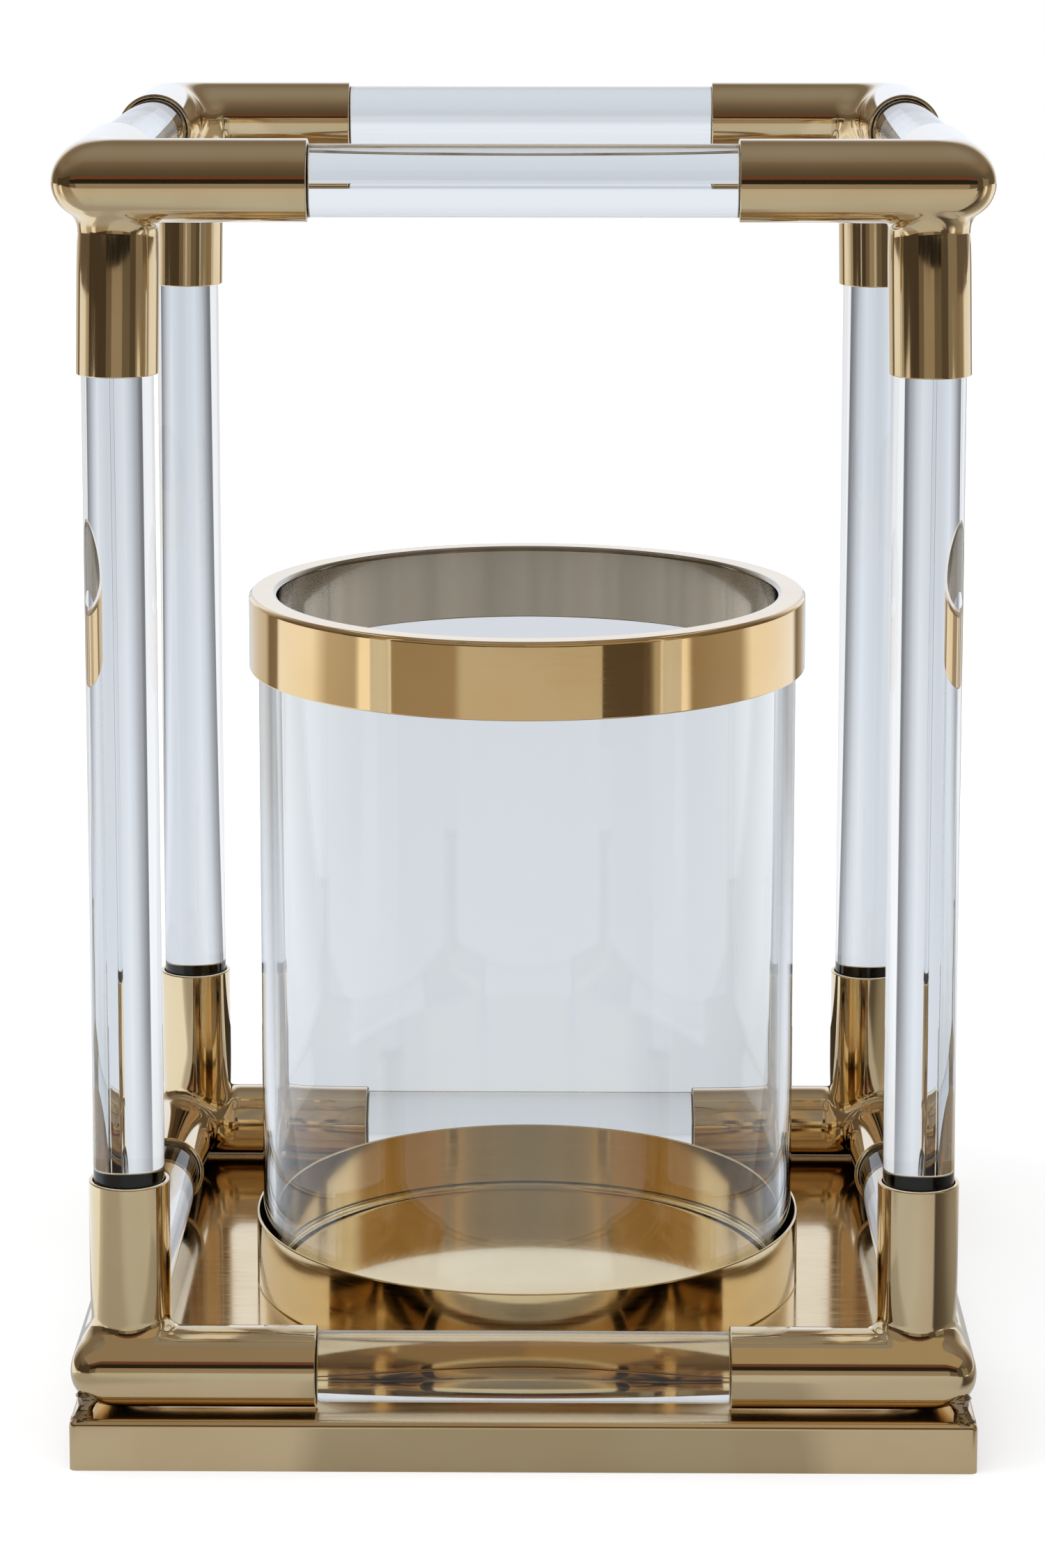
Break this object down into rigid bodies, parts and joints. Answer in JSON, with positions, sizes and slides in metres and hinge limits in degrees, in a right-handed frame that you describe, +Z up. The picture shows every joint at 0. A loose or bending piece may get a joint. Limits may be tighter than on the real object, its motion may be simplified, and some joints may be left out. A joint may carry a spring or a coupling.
{
  "type": "hurricane candle lantern",
  "caption": "Square open lantern of gold corner fittings and clear rods on a shallow pan, with a dish, a lift-out glass cylinder and a loose rim collar.",
  "frame": {"origin": "centre of the pan's underside edge, on the surface it stands on", "axes": "+Z up along the glass cylinder's axis, -Y towards the front, +X to the right seen from the front"},
  "size_m": [0.28, 0.28, 0.41],
  "materials": {
    "polished_gold": "polished champagne-gold plated stainless steel",
    "brushed_gold": "finely brushed champagne-gold plated stainless steel",
    "pan_gold": "satin champagne-gold sheet with a polished top",
    "clear_acrylic": "clear polished solid acrylic rod",
    "glass": "clear, polished edges"
  },
  "bodies": {
    "frame": {"base_pan": "pan_gold", "candle_dish": "brushed_gold", "pan_welds": "polished_gold", "tack_welds": "polished_gold", "lower_elbow_front_left": "polished_gold", "lower_elbow_front_right": "polished_gold", "lower_elbow_back_left": "polished_gold", "lower_elbow_back_right": "polished_gold", "upper_elbow_front_left": "polished_gold", "upper_elbow_front_right": "polished_gold", "upper_elbow_back_left": "polished_gold", "upper_elbow_back_right": "polished_gold", "lower_sleeve_front_left": "polished_gold", "lower_sleeve_front_right": "polished_gold", "lower_sleeve_back_left": "polished_gold", "lower_sleeve_back_right": "polished_gold", "upper_sleeve_front_left": "polished_gold", "upper_sleeve_front_right": "polished_gold", "upper_sleeve_back_left": "polished_gold", "upper_sleeve_back_right": "polished_gold", "lower_rail_front": "clear_acrylic", "lower_rail_back": "clear_acrylic", "lower_rail_left": "clear_acrylic", "lower_rail_right": "clear_acrylic", "upper_rail_front": "clear_acrylic", "upper_rail_back": "clear_acrylic", "upper_rail_left": "clear_acrylic", "upper_rail_right": "clear_acrylic", "post_front_left": "clear_acrylic", "post_front_right": "clear_acrylic", "post_back_left": "clear_acrylic", "post_back_right": "clear_acrylic"},
    "glass": {"glass_cylinder": "glass"},
    "collar": {"rim_collar": "brushed_gold"}
  },
  "joints": [
    {"name": "glass_lift", "type": "slide", "parent": "frame", "child": "glass", "axis": [0, 0, 1], "range_m": [0, 0.4]},
    {"name": "collar_lift", "type": "slide", "parent": "glass", "child": "collar", "axis": [0, 0, 1], "range_m": [0, 0.19]}
  ]
}
